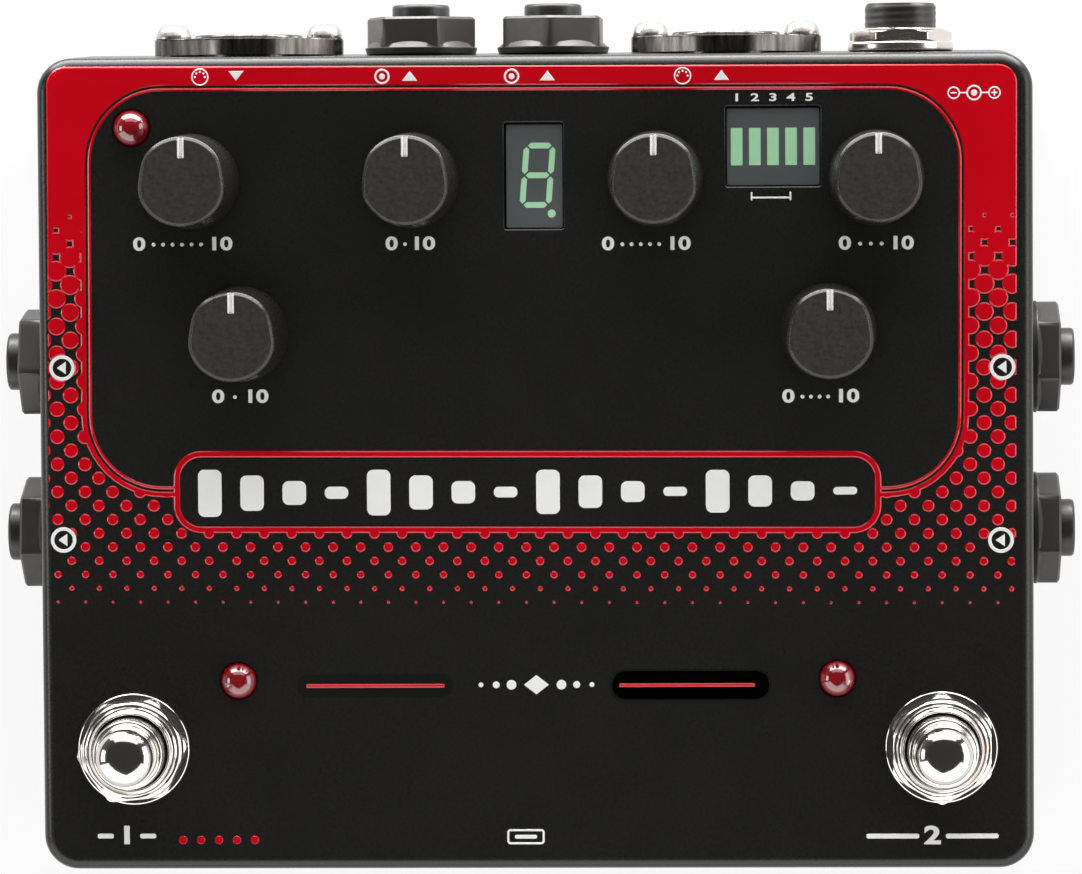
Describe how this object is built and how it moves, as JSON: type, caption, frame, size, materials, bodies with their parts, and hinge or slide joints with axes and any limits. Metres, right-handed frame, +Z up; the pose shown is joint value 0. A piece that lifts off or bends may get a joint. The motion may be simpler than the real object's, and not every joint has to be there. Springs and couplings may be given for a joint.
{
  "type": "delay effects pedal",
  "caption": "Wide stomp-box effects pedal with knobs, a digit display, a bar display, status lamps, footswitches, side and back jacks, and data and power sockets.",
  "frame": {"origin": "centre of the base plate's underside", "axes": "+X to the player's right along the long side, +Y to the back with the sockets, +Z up out of the panel"},
  "size_m": [0.1578, 0.1259, 0.0546],
  "materials": {
    "case_paint": "satin black powder coat with a printed red and white top",
    "base_paint": "satin black powder coat",
    "screw_steel": "zinc plated",
    "knob_plastic": "fine matte, with a white pointer",
    "shaft_metal": "turned",
    "housing_plastic": "moulded",
    "display_plastic": "smooth grey face with pale green segments",
    "lamp_lens": "clear red dome",
    "chrome": "polished nickel",
    "jack_plastic": "moulded thread and housing",
    "nut_plastic": "moulded, slightly glossy",
    "usb_steel": "plated sheet",
    "board_laminate": "green solder mask"
  },
  "bodies": {
    "chassis": {"bank_display": "display_plastic", "base_plate": "base_paint", "base_screw_front_left": "screw_steel", "base_screw_front_right": "screw_steel", "base_screw_rear_left": "screw_steel", "base_screw_rear_right": "screw_steel", "digit_display": "display_plastic", "enclosure": "case_paint", "encoder_selector": "housing_plastic", "footswitch_body_left": "chrome", "footswitch_body_right": "chrome", "footswitch_nut_left": "chrome", "footswitch_nut_right": "chrome", "footswitch_washer_left": "chrome", "footswitch_washer_right": "chrome", "jack_back_left": "jack_plastic", "jack_back_right": "jack_plastic", "jack_left_front": "jack_plastic", "jack_left_rear": "jack_plastic", "jack_nut_back_left": "nut_plastic", "jack_nut_back_right": "nut_plastic", "jack_nut_left_front": "nut_plastic", "jack_nut_left_rear": "nut_plastic", "jack_nut_right_front": "nut_plastic", "jack_nut_right_rear": "nut_plastic", "jack_right_front": "jack_plastic", "jack_right_rear": "jack_plastic", "lamp_left": "lamp_lens", "lamp_rear": "lamp_lens", "lamp_right": "lamp_lens", "main_board": "board_laminate", "midi_screw_left_a": "chrome", "midi_screw_left_b": "chrome", "midi_screw_right_a": "chrome", "midi_screw_right_b": "chrome", "midi_socket_left": "chrome", "midi_socket_right": "chrome", "pot_front_left": "housing_plastic", "pot_front_right": "housing_plastic", "pot_rear_inner": "housing_plastic", "pot_rear_left": "housing_plastic", "pot_rear_right": "housing_plastic", "power_jack": "jack_plastic", "power_jack_nut": "chrome", "power_jack_washer": "chrome", "usb_socket": "usb_steel"},
    "dial_rear_left": {"knob_rear_left": "knob_plastic", "shaft_rear_left": "shaft_metal"},
    "dial_rear_inner": {"knob_rear_inner": "knob_plastic", "shaft_rear_inner": "shaft_metal"},
    "dial_selector": {"knob_selector": "knob_plastic", "shaft_selector": "shaft_metal"},
    "dial_rear_right": {"knob_rear_right": "knob_plastic", "shaft_rear_right": "shaft_metal"},
    "dial_front_left": {"knob_front_left": "knob_plastic", "shaft_front_left": "shaft_metal"},
    "dial_front_right": {"knob_front_right": "knob_plastic", "shaft_front_right": "shaft_metal"},
    "stomp_left": {"footswitch_plunger_left": "chrome"},
    "stomp_right": {"footswitch_plunger_right": "chrome"}
  },
  "joints": [
    {"name": "dial_rear_left_turn", "type": "hinge", "parent": "chassis", "child": "dial_rear_left", "pos_m": [-0.04911, 0.04081, 0.0393], "axis": [0, 0, 1], "range_deg": [-150, 150]},
    {"name": "dial_rear_inner_turn", "type": "hinge", "parent": "chassis", "child": "dial_rear_inner", "pos_m": [-0.01751, 0.04081, 0.0393], "axis": [0, 0, 1], "range_deg": [-150, 150]},
    {"name": "dial_selector_turn", "type": "hinge", "parent": "chassis", "child": "dial_selector", "pos_m": [0.01751, 0.04081, 0.0393], "axis": [0, 0, 1], "continuous": true},
    {"name": "dial_rear_right_turn", "type": "hinge", "parent": "chassis", "child": "dial_rear_right", "pos_m": [0.04911, 0.04081, 0.0393], "axis": [0, 0, 1], "range_deg": [-150, 150]},
    {"name": "dial_front_left_turn", "type": "hinge", "parent": "chassis", "child": "dial_front_left", "pos_m": [-0.04221, 0.01888, 0.0393], "axis": [0, 0, 1], "range_deg": [-150, 150]},
    {"name": "dial_front_right_turn", "type": "hinge", "parent": "chassis", "child": "dial_front_right", "pos_m": [0.04221, 0.01888, 0.0393], "axis": [0, 0, 1], "range_deg": [-150, 150]},
    {"name": "stomp_left_press", "type": "slide", "parent": "chassis", "child": "stomp_left", "axis": [0, 0, -1], "range_m": [0, 0.003], "stiffness_N_per_m": 1200},
    {"name": "stomp_right_press", "type": "slide", "parent": "chassis", "child": "stomp_right", "axis": [0, 0, -1], "range_m": [0, 0.003], "stiffness_N_per_m": 1200}
  ]
}
